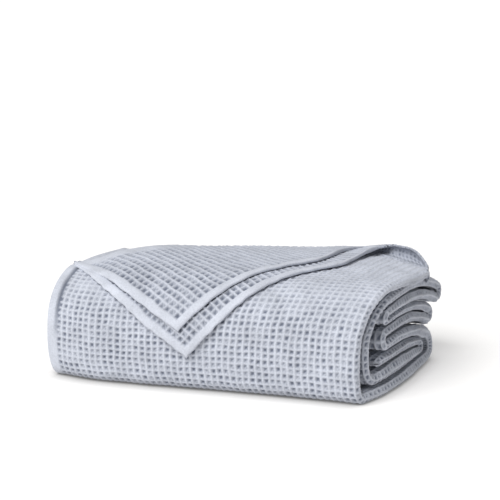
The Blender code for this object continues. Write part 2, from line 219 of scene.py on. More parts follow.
def run_along(points):
    """Measure how far along a line each of its points lies."""
    return np.concatenate([[0.0], np.cumsum(np.linalg.norm(np.diff(points, axis=0), axis=1))])


path_normals = unit_normals(path)
path_run = run_along(path)
outer_face = path + path_normals * path_thick[:, None] / 2.0
print("the strip is", round(path_run[-1]), "mm long")

# %% [markdown]
# ## How the package settles
# Real folded cloth is never square: this package lies lower on its left, and its front
# bows out in the middle. A lattice could bend the finished pieces, but one formula for
# every point lets all the cloth follow together.

# %% Settling of the package
LEFT_SINK = 0.10
LEFT_BACK_SINK = 0.04
BACK_SINK_SPAN = (60.0, 200.0)
FRONT_BOW = 13.0
BOW_SPAN = (90.0, -190.0)
BOW_END_SPAN = (-259.0, -189.0)
FOOTPRINT_MIDDLE = (-42.1, 112.75)


def settle(x, y, z):
    """Let the package sit: lower on the left, with its front bowed. Gives metres."""
    left = ease(x, RIGHT_END, LEFT_END)
    z = z * (1.0 - LEFT_SINK * left - LEFT_BACK_SINK * left * ease(y, *BACK_SINK_SPAN))
    y = y - FRONT_BOW * ease(x, *BOW_SPAN) * ease(x, *BOW_END_SPAN)
    x, y, z = np.broadcast_arrays(x, y, z)
    middle = np.array([*FOOTPRINT_MIDDLE, 0.0])
    return (np.stack([x, y, z], axis=-1) - middle) * MM


print("100 mm up, the left end settles to", round(settle(LEFT_END, 0.0, 100.0)[2] / MM), "mm")

# %% [markdown]
# ## The face of the outer wrap
# The outermost face goes round the first back fold, under, up the front and over the top
# in one go. Placing cells by y and z would stretch them at the bends, so they are placed by
# their run along this face, which equals the height at the front's shoulder.

# %% Face of the outer wrap
NOSE_IN = 30
SHOULDER = (-4.0, 76.0)

wrap_from = pass_end["first upper"] - NOSE_IN
wrap_line = outer_face[wrap_from:]
wrap_normals = path_normals[wrap_from:]
wrap_run = run_along(wrap_line)
shoulder = np.argmin(np.hypot(wrap_line[:, 0] - SHOULDER[0], wrap_line[:, 1] - SHOULDER[1]))
wrap_run += SHOULDER[1] - wrap_run[shoulder]
print("outer wrap runs from", round(wrap_run[0]), "to", round(wrap_run[-1]), "mm")

# %% [markdown]
# ## Points on the wrap
# The top isn't even: the turned corner gathers its back right, the right rim leans out and
# down, and the back left is rounded off. These could be sculpted dents. One function that
# places any point by its x, run and height takes whatever lies on the top along.

# %% Points on the wrap
CORNER_PULL = 84.0
CORNER_DIP = 9.0
CORNER_SPAN = (70.0, 178.0)
RIM_DIP = 1.0
RIM_REACH = 5.0
RIM_SPAN = (110.0, 160.0)
BACK_ROUND = 30.0
BACK_ROUND_SPAN = (-170.0, LEFT_END)
RUN_PULL_START = 130.0


def on_wrap(x, run, height):
    """Put points at an x and a run, a height above the outer wrap's face."""
    far = ease(run, RUN_PULL_START, wrap_run[-1])
    gather = ease(x, *CORNER_SPAN) * far
    rim = ease(x, *RIM_SPAN) * far
    run = run - CORNER_PULL * gather - BACK_ROUND * ease(x, *BACK_ROUND_SPAN) ** 2 * far
    over = np.maximum(run - wrap_run[-1], 0.0)
    last = wrap_line[-1] - wrap_line[-2]
    last = last / np.linalg.norm(last)
    y, z = (np.interp(run, wrap_run, wrap_line[:, k]) + over * last[k] for k in (0, 1))
    out = [np.interp(run, wrap_run, wrap_normals[:, k]) for k in (0, 1)]
    length = np.hypot(out[0], out[1])
    z = z + out[1] / length * height - CORNER_DIP * gather - RIM_DIP * rim
    return settle(x + RIM_REACH * rim, y + out[0] / length * height, z)


print("the shoulder is", round(on_wrap(0.0, SHOULDER[1], 0.0)[2] / MM), "mm high at x = 0")

# %% [markdown]
# ## Ribs and slow waves
# Waffle weave has raised ribs round sunk square cells about 8 mm wide. A texture could
# only shade them, so they are real relief: a function of two cell counts gives the depth
# at any point of the cloth. Slow waves keep the rows from being perfectly straight.

# %% Ribs and slow waves
CELL_WIDE = 8.3
CELL_TALL = 7.65
CELL_STEPS = 6
FINE = (CELL_WIDE + CELL_TALL) / 2.0 / CELL_STEPS
RIB_NARROW = 1.35
WAVE_LENGTHS = (97.0, 61.0, 37.0, 21.0)
WAVE_TURN = 2.1
SEED_TURN = 1.7


def rib(count, narrow):
    """Give 1 on a rib and 0 in the middle of a cell, by cell count."""
    off = np.abs(count - np.round(count))
    return (0.5 + 0.5 * np.cos(math.tau * off)) ** narrow


def waves(a, b, seed):
    """Give slow uneven waves between about -1 and 1 over a cloth, in millimetres."""
    total = 0.0
    for k, length in enumerate(WAVE_LENGTHS):
        turn = seed * SEED_TURN + k * WAVE_TURN
        total = total + np.sin((a * math.cos(turn) + b * math.sin(turn)) * math.tau / length + turn)
    return total / len(WAVE_LENGTHS)


print("cell", CELL_WIDE, "by", CELL_TALL, "mm, grid step", round(FINE, 2), "mm")

# %% [markdown]
# ## One cell of the weave
# Ribs along the cloth stand a little higher than those across it, a loose yarn floats
# aslant over each hollow, and a twist runs along the ribs. No two cells are alike. Random
# numbers would do, but a chance worked out from the cell's row and column is the same on
# every run.

# %% Cell of the weave
CELL_DEPTH = 2.5
CROSS_RIB = 0.86
CROSS_SEED = 3
ROW_SWAY = 0.17
DICE_ACROSS = 12.9898
DICE_ALONG = 78.233
DICE_SCALE = 437.585
FLOAT_SIDE = 0.24
FLOAT_RISE = 0.46
FLOAT_WIDE = 0.2
SIDE_VARIES = 0.6
RISE_VARIES = 0.35
DEPTH_VARIES = 0.13
YARN_TWIST = 0.11
YARN_TURNS = 1.4
HOLLOW_POWER = 1.4


def cell_chance(u, v, seed):
    """Give each cell its own number between -1 and 1."""
    dice = DICE_SCALE * np.sin(DICE_ACROSS * np.floor(u) + DICE_ALONG * np.floor(v) + seed)
    return 2.0 * (dice - np.floor(dice)) - 1.0


def waffle(a, b, seed, narrow=RIB_NARROW):
    """Give relief in millimetres and hollow shade at cloth distances a and b."""
    u = a / CELL_WIDE + ROW_SWAY * waves(a, b, seed)
    v = b / CELL_TALL + ROW_SWAY * waves(b, a, seed + CROSS_SEED)
    chance = cell_chance(u, v, seed)
    raised = np.maximum(rib(u, narrow), CROSS_RIB * rib(v, narrow))
    slant = (u - np.floor(u)) - (v - np.floor(v)) - FLOAT_SIDE * (1.0 + SIDE_VARIES * chance)
    rise = FLOAT_RISE * (1.0 - RISE_VARIES * chance)
    raised = np.maximum(raised, rise * np.exp(-((slant / FLOAT_WIDE) ** 2)))
    raised = raised - YARN_TWIST * raised * np.sin(math.tau * YARN_TURNS * (u + v))
    sunk = np.maximum(1.0 - raised, 0.0) * (1.0 + DEPTH_VARIES * chance)
    return -CELL_DEPTH * sunk, sunk**HOLLOW_POWER


patch = np.meshgrid(np.arange(0.0, 40.0, FINE), np.arange(0.0, 40.0, FINE))
print("a patch of weave is", round(float(np.ptp(waffle(*patch, 1)[0])), 1), "mm deep")

# %% [markdown]
# ## Plain hems
# The blanket's edges are turned over twice and sewn down: a plain band that puffs up
# unevenly, with a fine seam along it. It could be a piece of its own. As relief it stays
# one cloth with the weave, as the real hem is.

# %% Plain hems
HEM = 11.5
HEM_RISE = 0.6
HEM_FADE = (-0.6, 1.2)
SEAM_IN = 0.9
SEAM_DEPTH = 0.6
HEM_PUFF = 0.55
HEM_PUFF_IN = 5.0
HEM_PUFF_LONG = 8.3
HEM_PUFF_SHORT = 4.9
HEM_PUFF_SHARE = 0.6


def hem_band(distance, phase, wide=HEM):
    """Give relief of a plain hem and the share of weave left at a distance from an edge."""
    weave = ease(distance, wide + HEM_FADE[0], wide + HEM_FADE[1])
    seam = np.exp(-(((distance - wide + SEAM_IN) / SEAM_IN) ** 2))
    ripple = np.sin(phase / HEM_PUFF_LONG) + HEM_PUFF_SHARE * np.sin(phase / HEM_PUFF_SHORT + 1.0)
    rise = HEM_RISE + HEM_PUFF * ripple * ease(distance, 0.0, HEM_PUFF_IN)
    return rise * (1.0 - weave) - SEAM_DEPTH * seam, weave


print("the seam lies", HEM - SEAM_IN, "mm from the hem's edge")

# %% [markdown]
# ## From numbers to a mesh
# Every piece of cloth is a grid of points. Adding them one by one with bmesh is slow for
# tens of thousands, so whole arrays are handed over at once. Each point also keeps how
# deep it lies in its cell, as `hollow`, which the cotton reads later to paint shade into
# the colour.

# %% Mesh with hollows
def put_in_scene(name, data):
    """Make an object from a mesh, a lamp or a lens, and put it in the scene."""
    thing = bpy.data.objects.new(name, data)
    bpy.context.scene.collection.objects.link(thing)
    return thing


def solid_mesh(name, points, faces, hollow):
    """Make a smooth object from points, four-sided faces and the hollow shade."""
    mesh = bpy.data.meshes.new(name)
    mesh.vertices.add(len(points))
    mesh.vertices.foreach_set("co", np.ascontiguousarray(points, np.float32).ravel())
    mesh.loops.add(faces.size)
    mesh.loops.foreach_set("vertex_index", np.ascontiguousarray(faces, np.int32).ravel())
    mesh.polygons.add(len(faces))
    mesh.polygons.foreach_set("loop_start", np.arange(0, faces.size, 4, dtype=np.int32))
    mesh.update(calc_edges=True)
    mesh.validate()
    # the amount of painted shade at each point, which the cotton reads
    shade = mesh.attributes.new("hollow", "FLOAT", "POINT")
    shade.data.foreach_set("value", np.ascontiguousarray(hollow, np.float32))
    mesh.shade_smooth()
    print(name, len(points), "points", len(faces), "faces")
    return put_in_scene(name, mesh)


print("meshes before the cloth:", len(bpy.data.meshes))

# %% [markdown]
# ## Grids and tubes
# An open grid makes a skin. A grid that closes on itself makes a tube, and its two ends
# are capped with rows of four-sided faces, which shade more evenly than a fan of
# triangles.

# %% Grids and tubes
def grid_faces(index):
    """List the four-sided faces of a grid of point numbers."""
    faces = np.stack([index[:-1, :-1], index[:-1, 1:], index[1:, 1:], index[1:, :-1]], -1)
    return faces.reshape(-1, 4)


def cloth_mesh(name, grid, hollow):
    """Make an object from an open grid of points."""
    index = np.arange(hollow.size).reshape(hollow.shape)
    return solid_mesh(name, grid.reshape(-1, 3), grid_faces(index), hollow.ravel())


def tube_mesh(name, grid, hollow):
    """Make an object from a grid that closes round its second way, with capped ends."""
    index = np.arange(hollow.size).reshape(hollow.shape)
    faces = [grid_faces(np.hstack([index, index[:, :1]]))]
    half = index.shape[1] // 2
    for ring in (index[0, ::-1], index[-1]):
        faces.append(grid_faces(np.stack([ring[:half], ring[: half - 1 : -1]])))
    return solid_mesh(name, grid.reshape(-1, 3), np.concatenate(faces), hollow.ravel())


print("3 by 4 points make", len(grid_faces(np.arange(12).reshape(3, 4))), "faces")

# %% [markdown]
# ## The strip's two ends
# The open left end tucks in near the floor, and the folded right end draws in towards the
# front. Cutting the pieces along a curve would leave ragged cells, so the ends are given
# as curves, and every piece is stretched between them.

# %% Ends of the strip
LEFT_TUCK = 12.0
LEFT_TUCK_HEIGHT = 14.0
FRONT_FACE = -10.0
END_TUCK = 29.0
END_TUCK_DEPTH = 50.0


def near_end(z):
    """Give where the strip starts at the left, tucked in near the floor."""
    return LEFT_END + LEFT_TUCK * np.exp(-z / LEFT_TUCK_HEIGHT)


def far_end(y, inset):
    """Give where the strip ends at the right, tucked in towards the front."""
    return RIGHT_END - inset - END_TUCK * np.exp((FRONT_FACE - y) / END_TUCK_DEPTH)


print("the front is", round(far_end(FRONT_FACE, 0.0) - near_end(0.0)), "mm long at the floor")

# %% [markdown]
# ## The diagonal fold
# Behind a slanted fold across the top, the uppermost cloth is missing, because it has been
# turned over to the front. Cutting the top there would need a new edge. It is sunk by that
# cloth's thickness instead, along the line of the fold.

# %% Diagonal fold
FOLD_FOOT_X = -233.0
FOLD_FOOT_RUN = 182.0
FOLD_ANGLE = math.radians(24.9)
COS, SIN = math.cos(FOLD_ANGLE), math.sin(FOLD_ANGLE)
LEAF_CLOTH = 3.0
LEAF_GAP = 0.9
DROP_SPAN = (-4.0, 10.0)
DROP_RUN_SPAN = (120.0, 170.0)


def wrap_drop(x, run):
    """Sink the outer top behind the diagonal fold, where its leaves are turned off."""
    fold = FOLD_FOOT_RUN + (x - FOLD_FOOT_X) * math.tan(FOLD_ANGLE)
    behind = (run - fold) * COS
    return -(LEAF_CLOTH + LEAF_GAP) * ease(behind, *DROP_SPAN) * ease(run, *DROP_RUN_SPAN)


print("the top sinks by", LEAF_CLOTH + LEAF_GAP, "mm behind the fold")

# %% [markdown]
# ## The section of the folded layers
# The strip shows three stacked leaves at its open left end, each with a top, a foot and a
# set-back, and one round fold edge at its right. Away from the leaves it is slimmer by more
# than a cell is deep, so that it backs the finer cloth and shows through it nowhere.

# %% Section of the strip
END_LEAVES = ((1.0, 0.42, 0.0), (0.26, -0.26, 5.0), (-0.42, -1.0, 2.0))
END_LEAF_ROUND = ((0.0, 1.5), (0.3, 0.0), (0.7, 0.0), (1.0, 1.5))
END_LEAF_SLIM = 0.6
END_GROOVE = 16.0
END_GROOVE_UP = 0.08
CORE_SLIM = 3.7
CORE_PAST_HEM = 4.0
CORE_SHARES = np.linspace(0.1, 0.9, 9)
ROUND_LENGTH = 5.0
ROUND_POINTS = 10


def strip_outline():
    """Outline the strip across its width as (end, distance, side, slim) rows."""
    left = []
    for top, foot, short in reversed(END_LEAVES):
        for share, back in END_LEAF_ROUND:
            left.append(("left", short + back, foot + share * (top - foot), END_LEAF_SLIM))
        if top < 1.0:
            left.append(("left", END_GROOVE, top + END_GROOVE_UP, END_LEAF_SLIM))
    marks = [HEM + CORE_PAST_HEM, *CORE_SHARES * STRIP_LENGTH]
    face = [("left", mark, 1.0, CORE_SLIM) for mark in marks]
    bend = []
    for turn in np.linspace(0.0, math.pi, ROUND_POINTS):
        back = ROUND_LENGTH * (1.0 - math.sin(turn)) + CORE_SLIM
        bend.append(("right", back, math.cos(turn), CORE_SLIM))
    lining = [("left", mark, -1.0, CORE_SLIM) for mark in reversed(marks)]
    middle = len(left) // 2
    return left[middle:] + face + bend + lining + left[:middle]


outline = strip_outline()
print("the section has", len(outline), "points")

# %% [markdown]
# ## Points of the strip
# A point is given by its place on the path, its x and its side: 1 on the outer face, -1 on
# the inner. On the top it goes through the wrap's own function, so the layers move with the
# wrap. Towards its two free ends the strip thins to a round.

# %% Points of the strip
FREE_END = 5.0
LEAST_SHARE = 0.02


def strip_point(k, x, side, slim):
    """Put points of the strip at a path index: side 1 is its outer face, -1 its inner."""
    half = path_thick[k] / 2.0
    high = np.asarray(side) * (half - slim) - half
    if k >= wrap_from and wrap_run[k - wrap_from] > RUN_PULL_START:
        run = wrap_run[k - wrap_from]
        drop = wrap_drop(x, run) * (np.asarray(side) + 1.0) / 2.0
        return on_wrap(x, run, high + drop)
    y, z = (path[k][i] + path_normals[k][i] * (high + half) for i in (0, 1))
    return settle(x, y, z)


def end_round(k):
    """Give how much of its thickness the strip has near its two free ends."""
    near = np.minimum(path_run[k], path_run[-1] - path_run[k]) / FREE_END
    return np.sqrt(1.0 - (1.0 - np.clip(near, LEAST_SHARE, 1.0)) ** 2)


print("3 mm from its end the strip has", round(float(end_round(3)), 2), "of its thickness")

# %% [markdown]
# ## The folded layers
# Inside, and at the open left end, the cloth shows as plain stacked layers. The section is
# carried along the path every few millimetres, closer at the two free ends, as a profile
# is swept along a curve. Doing it point by point lets the section change on the way.

# %% Folded layers
CORE_STEP = 6
FREE_END_RINGS = np.array([1, 2, 4])

last_point = len(path) - 1
near_ends = [*FREE_END_RINGS, *(last_point - FREE_END_RINGS), last_point]
ring_places = np.unique([*range(0, len(path), CORE_STEP), *near_ends])
sides, slims = (np.array([row[i] for row in outline]) for i in (2, 3))
rings = np.zeros((len(ring_places), len(outline), 3))
for i, k in enumerate(ring_places):
    near, far = near_end(path[k][1]), far_end(path[k][0], path_inset[k])
    x = np.array([near + row[1] if row[0] == "left" else far - row[1] for row in outline])
    rings[i] = strip_point(k, x, sides * end_round(k), slims)
folded_layers = tube_mesh("folded_layers", rings, np.zeros(rings.shape[:2]))

# %% [markdown]
# ## Across the strip
# A row of woven cloth starts under the plain hem on the left, goes across the face, turns
# round the right fold edge and goes on into the groove behind it. Its columns keep their
# count all the way, so they lean with the tucked right end as woven cloth does.

# %% Across the strip
EDGE_ROUND = 1.6
EDGE_POINTS = 6
ARC_LENGTH = 17.0
EDGE_IN = 26.0
FACE_WIDTH = STRIP_LENGTH - EDGE_ROUND - ROUND_LENGTH


def across_strip(inner):
    """List distances across the strip: left hem edge, face, right round and inner face."""
    left = -EDGE_ROUND * math.pi * np.linspace(1.0, 0.0, EDGE_POINTS)[:-1]
    return np.concatenate([left, np.arange(0.0, FACE_WIDTH + inner, FINE)])


def across_shape(d, near, far):
    """Shape the strip across: give x, the right round's turn and the left edge's fall."""
    edge = np.clip(-d / EDGE_ROUND, 0.0, math.pi)
    share = np.clip(d / FACE_WIDTH, 0.0, 1.0)
    turn = np.clip((d - FACE_WIDTH) / ARC_LENGTH, 0.0, 1.0) * math.pi
    inward = np.maximum(d - FACE_WIDTH - ARC_LENGTH, 0.0)
    x = near + EDGE_ROUND * (1.0 - np.sin(edge))
    x = x + share * (far - ROUND_LENGTH - near - EDGE_ROUND)
    return x + ROUND_LENGTH * np.sin(turn) - inward, turn, EDGE_ROUND * (1.0 - np.cos(edge))


print("a row across has", len(across_strip(ARC_LENGTH + EDGE_IN)), "points")

# %% [markdown]
# ## Relief of the outer wrap
# The relief adds up the weave, the plain hems at the left and back edges, a slow swell, and
# a groove beside the left hem, where the cloth is pulled tight; painted shade darkens that
# groove too. The back hem gives way to weave at the right, where the cloth is gathered. The
# painted hollow shade is paler on the top, where light falls straight in.

# %% Relief of the outer wrap
WRAP_SEED = 1
SWELL_SEED = 5
SWELL = 0.8
SWELL_STRETCH = 0.6
EDGE_GATHER = (-40.0, -10.0)
GROOVE_DEPTH = 2.4
GROOVE_WIDE = 2.2
GROOVE_SHADE = 0.42
GROOVE_SPAN = (40.0, 100.0)
TOP_PALER = 0.4
TOP_SPAN = (95.0, 130.0)


def wrap_relief(d, run):
    """Give the wrap's relief in millimetres and its hollow shade."""
    relief, hollow = waffle(d - HEM, run, WRAP_SEED)
    left_rise, left_weave = hem_band(np.maximum(d, 0.0), run)
    back_rise, back_weave = hem_band(np.maximum(wrap_run[-1] - run, 0.0), d)
    gathered = ease(d, FACE_WIDTH + EDGE_GATHER[0], FACE_WIDTH + EDGE_GATHER[1])
    weave = np.minimum(left_weave, np.maximum(back_weave, gathered))
    swell = SWELL * waves(d * SWELL_STRETCH, run * SWELL_STRETCH, SWELL_SEED)
    groove = GROOVE_DEPTH * np.exp(-(((d - HEM) / GROOVE_WIDE) ** 2)) * ease(run, *GROOVE_SPAN)
    relief = (relief + swell) * weave
    relief = relief + left_rise + back_rise * left_weave * (1.0 - gathered) - groove
    # painted shade in the hollows, lighter on the top, and in the groove beside the left hem
    hollow = hollow * weave * (1.0 - TOP_PALER * ease(run, *TOP_SPAN)) + GROOVE_SHADE * groove
    return relief, hollow


print("the back hem turns to weave over", EDGE_GATHER[1] - EDGE_GATHER[0], "mm at the right")

# %% [markdown]
# ## The outer wrap
# The grid of distances across and runs along is laid on the wrap with its relief, turned
# down at its back edge and kept above the floor. One piece would be heavy to work with, so
# there are three, which overlap by a step.

# %% Outer wrap: bottom, front and top
BACK_EDGE = 3.0
FRONT_FROM = -26.0
TOP_FROM = 110.6


def strip_at(index):
    """Read y, z, half thickness, inset and outward direction between the path's points."""
    kept = (*path.T, path_thick / 2.0, path_inset, *path_normals.T)
    return [np.interp(index, np.arange(len(path)), values) for values in kept]


def back_edge(run):
    """Turn the wrap down at its back edge: give the run that it reaches and its fall."""
    over = (run - wrap_run[-1] + BACK_EDGE) / BACK_EDGE
    back = np.clip(over, 0.0, math.pi)
    past = np.where(over > 0.0, BACK_EDGE * (np.sin(back) - 1.0) + wrap_run[-1], run)
    return past, BACK_EDGE * (1.0 - np.cos(back))


def wrap_skin(name, run_from, run_to):
    """Lay the woven outer face of the wrap between two runs."""
    d, run = np.meshgrid(across_strip(ARC_LENGTH + EDGE_IN), np.arange(run_from, run_to, FINE))
    index = np.interp(run, wrap_run, np.arange(wrap_from, len(path)))
    y, z, half, inset = strip_at(index)[:4]
    x, turn, fall = across_shape(d, near_end(z), far_end(y, inset))
    relief, hollow = wrap_relief(d, run)
    past, back_fall = back_edge(run)
    drop = wrap_drop(x, past) * (np.cos(turn) + 1.0) / 2.0
    height = (half + relief) * np.cos(turn) - half + drop - fall - back_fall
    grid = on_wrap(x + relief * np.sin(turn), past, height)
    grid[..., 2] = np.maximum(grid[..., 2], 0.0)
    return cloth_mesh(name, grid, hollow)


wrap_bottom = wrap_skin("outer_wrap_bottom", wrap_run[0], FRONT_FROM + FINE)
wrap_front = wrap_skin("outer_wrap_front", FRONT_FROM, TOP_FROM + FINE)
wrap_top = wrap_skin("outer_wrap_top", TOP_FROM, wrap_run[-1] + BACK_EDGE * 2.0)

# %% [markdown]
# ## Fold edges at the right
# At the right end every pass shows its own fold edge: two or three rows of squeezed cells
# that follow the spiral, between narrow ribs. One grid follows the inner passes' path and
# turns round their edges, a little way in on both faces, so the grooves stay deep and dark,
# darkened further by extra painted shade in the hollows.

# %% Fold edges of the inner passes
EDGE_SEED = 2
EDGE_NARROW = 2.1
EDGE_SHADE = 1.15
EDGE_OVERLAP = 4


def edge_skin(name, first, last):
    """Lay the woven right fold edge along the path between two indexes."""
    d = np.arange(FACE_WIDTH - EDGE_IN, FACE_WIDTH + ARC_LENGTH + EDGE_IN, FINE)
    grid = np.zeros((last - first, len(d), 3))
    hollow = np.zeros(grid.shape[:2])
    for i, k in enumerate(range(first, last)):
        far = far_end(path[k][0], path_inset[k])
        x, turn, _ = across_shape(d, far - STRIP_LENGTH, far)
        relief, shade = waffle(d - HEM, np.full_like(d, path_run[k]), EDGE_SEED, EDGE_NARROW)
        # extra painted shade in the hollows of the fold edges
        hollow[i] = EDGE_SHADE * shade
        side = np.cos(turn) * end_round(k) * (1.0 + relief / (path_thick[k] / 2.0))
        grid[i] = strip_point(k, x + relief * np.sin(turn), side, 0.0)
    return cloth_mesh(name, grid, hollow)


fold_edges = edge_skin("right_fold_edges", 0, wrap_from + EDGE_OVERLAP)

# %% [markdown]
# ## Back folds
# At the back two more folds show as round noses across the whole length. They could stay
# plain, but with the same weave, laid from the hem, the back is as finished as the front.

# %% Back folds
NOSE_SEED = 4
NOSE_SHIFT = 40.0
NOSES = (
    ("third_back_fold", "third upper", "third lower"),
    ("second_back_fold", "second upper", "second lower"),
)


def nose_skin(name, first, last, seed):
    """Lay the woven outer face round the fold between two path indexes."""
    keep = np.arange(first, last)
    run = run_along(outer_face[keep])
    d, length = np.meshgrid(across_strip(2.0 * FINE), np.arange(0.0, run[-1], FINE))
    index = np.interp(length, run, keep)
    y, z, half, inset, out_y, out_z = strip_at(index)
    x, _, fall = across_shape(d, near_end(z), far_end(y, inset))
    relief, hollow = waffle(d - HEM, length, seed)
    rise, weave = hem_band(np.maximum(d, 0.0), length + NOSE_SHIFT * seed)
    height = half + relief * weave + rise - fall
    return cloth_mesh(name, settle(x, y + out_y * height, z + out_z * height), hollow * weave)


back_folds = []
for nose_seed, (nose, before_pass, after_pass) in enumerate(NOSES, NOSE_SEED):
    nose_span = pass_end[before_pass] - NOSE_IN, pass_at[after_pass] + NOSE_IN
    back_folds.append(nose_skin(nose, *nose_span, nose_seed))

# %% [markdown]
# ## The turned corner
# The back left corner of the top is turned over on the diagonal fold: two leaves of cloth
# roll over it, lie across the top and hang down the front, the upper one a little shorter.
# A row stands for each leaf: how far its left and right hems are set in and spread apart,
# how high it lies, where its flat part starts to narrow and ends, and where its roll ends.

# %% Leaves of the corner
LEFT_ARM = 215.7
FOLD_START = -14.0
TURNED_COLUMNS = (
    "name", "left_inset", "right_inset", "left_spread", "right_spread",
    "lift", "gather", "flat_end", "roll_end",
)
TURNED = (
    ("turned_lower_leaf", 0.0, 0.0, 0.07, 0.0, 0.0, 290.0, 366.0, 428.0),
    ("turned_upper_leaf", 18.4, 27.9, 0.17, 0.03, LEAF_CLOTH + LEAF_GAP, 265.0, 338.0, 342.0),
)
turned = [dict(zip(TURNED_COLUMNS, row)) for row in TURNED]
print(len(turned), "leaves")

# %% [markdown]
# ## The roll
# Turned over, the cloth makes a soft roll along the fold: fat near the left, thin further
# on and open again in a curl at the right end. A table of radii gives that shape, and
# averaging five of them takes out its corners, but less and less towards the curl's end.

# %% Radius of the roll
ROLL = (
    (0.0, 1.6), (40.0, 6.6), (98.0, 10.2), (140.0, 7.4), (200.0, 6.0), (250.0, 3.6),
    (300.0, 2.2), (350.0, 4.6), (390.0, 9.6), (404.0, 9.6), (415.0, 7.4), (424.0, 3.6),
    (428.0, 0.8),
)
ROLL_SPREAD = (-24, -12, 0, 12, 24)
ROLL_END_SPAN = (385.0, 424.0)


def roll_radius(along):
    """Give the roll's radius at a distance along the diagonal fold, smoothed."""
    distances, radii = zip(*ROLL)
    smooth = 1.0 - ease(along, *ROLL_END_SPAN)
    spread = [np.interp(along + k * smooth, distances, radii) for k in ROLL_SPREAD]
    return sum(spread) / len(spread)


print("the roll's radius is", round(float(roll_radius(98.0)), 1), "mm where it is fattest")

# %% [markdown]
# ## Draping a leaf
# Each leaf is laid out flat, and then every point is draped: round the roll where it is
# past the fold, and resting on the wrap before it. A cloth simulation would do this too,
# but with a formula the pressed leaves end just where the photo shows them.

# %% Draping a leaf
GATHER = 0.9
REST_GAP = 1.8
ROLL_MIDDLE = 6.0
ROOT_DEPTH = 1.0
ROLL_SETTLE = 75.0
END_SETTLE = 0.85
END_SETTLE_SPAN = (45.0, FOLD_START)
LIFT_FADE = 40.0
HALF_LEAF = LEAF_CLOTH / 2.0


def drape(leaf, along, past):
    """Drape leaf points at a distance along the fold and a distance past it."""
    radius = roll_radius(along)
    even = ROLL_MIDDLE + leaf["lift"]
    lift = leaf["lift"] * (1.0 - ease(along, leaf["roll_end"] - LIFT_FADE, leaf["roll_end"]))
    deep = radius + lift
    tall = radius + lift / 2.0
    rest = HALF_LEAF + REST_GAP + lift
    top = 2.0 * tall - ROOT_DEPTH
    turn = np.clip(past / even, 0.0, math.pi)
    rolled = deep * np.sin(turn) - np.maximum(past - math.pi * even, 0.0)
    flat = past * (1.0 - GATHER * ease(along, leaf["gather"], leaf["flat_end"]))
    lying = rest + (top - rest) * np.exp(-((flat / ROLL_SETTLE) ** 2))
    behind = np.where(past > 0.0, rolled, flat)
    height = np.where(past > 0.0, tall * (1.0 + np.cos(turn)) - ROOT_DEPTH, lying)
    height = height * (1.0 - END_SETTLE * ease(along, *END_SETTLE_SPAN))
    x = FOLD_FOOT_X + along * COS - behind * SIN
    run = FOLD_FOOT_RUN + along * SIN + behind * COS
    return on_wrap(x, run, height)


tip = drape(turned[0], LEFT_ARM * SIN, -LEFT_ARM * COS)
print("the corner's tip hangs", round(tip[2] / MM), "mm above the floor")

# %% [markdown]
# ## The leaf laid flat
# The leaf's grid has its own two ways: `a` in from the left hem and `b` in from the right
# hem, so the rows of cells run along the hems. Both hems wave a little. Each grid point is
# then given by its distance along the fold and past it, and points beyond the cloth are
# drawn back to its edge.

# %% Leaf laid flat
LEAF_REACH = (470.0, 300.0)
HEM_WAVE = 1.3
HEM_WAVE_STRETCH = 1.7
ROLL_ROOT = 6.0
BESIDE_ROLL = -2.0 * FINE
JUST_PAST = 1e-6


def leaf_ways(leaf, seed):
    """Lay a leaf flat: give its grid, and each point's distances along and past the fold."""
    a, b = np.meshgrid(*(np.arange(0.0, reach, FINE) for reach in LEAF_REACH))
    sway_a, sway_b = (HEM_WAVE * waves(k * HEM_WAVE_STRETCH, 0.0, seed) for k in (b, a))
    p = leaf["left_inset"] + a - leaf["left_spread"] * b + sway_a * np.exp(-a / HEM)
    q = leaf["right_inset"] + b - leaf["right_spread"] * a + sway_b * np.exp(-b / HEM)
    past = p * SIN + (q - LEFT_ARM) * COS
    along = p * COS - (q - LEFT_ARM) * SIN
    return a, b, along, past


def leaf_places(leaf, along, past):
    """Drape a leaf's points, in millimetres, and say which of them are on the cloth."""
    root = math.pi * (ROLL_MIDDLE + leaf["lift"]) + ROLL_ROOT
    limit = np.where(past > 0.0, leaf["roll_end"], leaf["flat_end"])
    inside = (along > FOLD_START) & (along < limit) & (past < root)
    beside = (along > leaf["flat_end"]) & (past <= 0.0) & (past > BESIDE_ROLL)
    limit = np.where(beside, leaf["roll_end"], limit)
    along_cut = np.clip(along, FOLD_START, limit)
    past_cut = np.where(beside, JUST_PAST, np.minimum(past, root))
    return drape(leaf, along_cut, past_cut) / MM, inside


print("the leaf grid has", round(LEAF_REACH[0] / FINE), "by", round(LEAF_REACH[1] / FINE), "steps")

# %% [markdown]
# ## Relief of a leaf
# A leaf has deeper cells than the wrap, because it isn't pressed from above, and more
# painted shade in its hollows. Its weave fades over the crest of the roll, where the cloth
# is stretched, and gives way at the right end to a collar of small rows that follow the
# curl, with painted shade over the whole collar. Its edges are rounded.

# %% Relief of a leaf
LEAF_HEM = 9.5
LEAF_NARROW = 1.8
LEAF_DEEPER = 1.3
LEAF_SHADE = 0.78
EDGE_PULL = 0.7
CREST_SPANS = ((-22.0, -15.0), (20.0, 10.0))
CREST_FADE = (200.0, 80.0)
WEAVE_END = (345.0, 330.0)
COLLAR_START = (345.0, 360.0)
COLLAR_CELL = 1.5
COLLAR_DEPTH = 0.8
COLLAR_SHADE = 0.3
COLLAR_SEED = 2


def leaf_edge(a, b, along):
    """Give how much a point near a leaf's edge is pulled in, to round the edge."""
    to_edge = np.minimum(np.minimum(a, b), np.maximum(along - FOLD_START, 0.0))
    return EDGE_PULL * HALF_LEAF * np.clip(1.0 - to_edge / EDGE_ROUND, 0.0, 1.0) ** 2


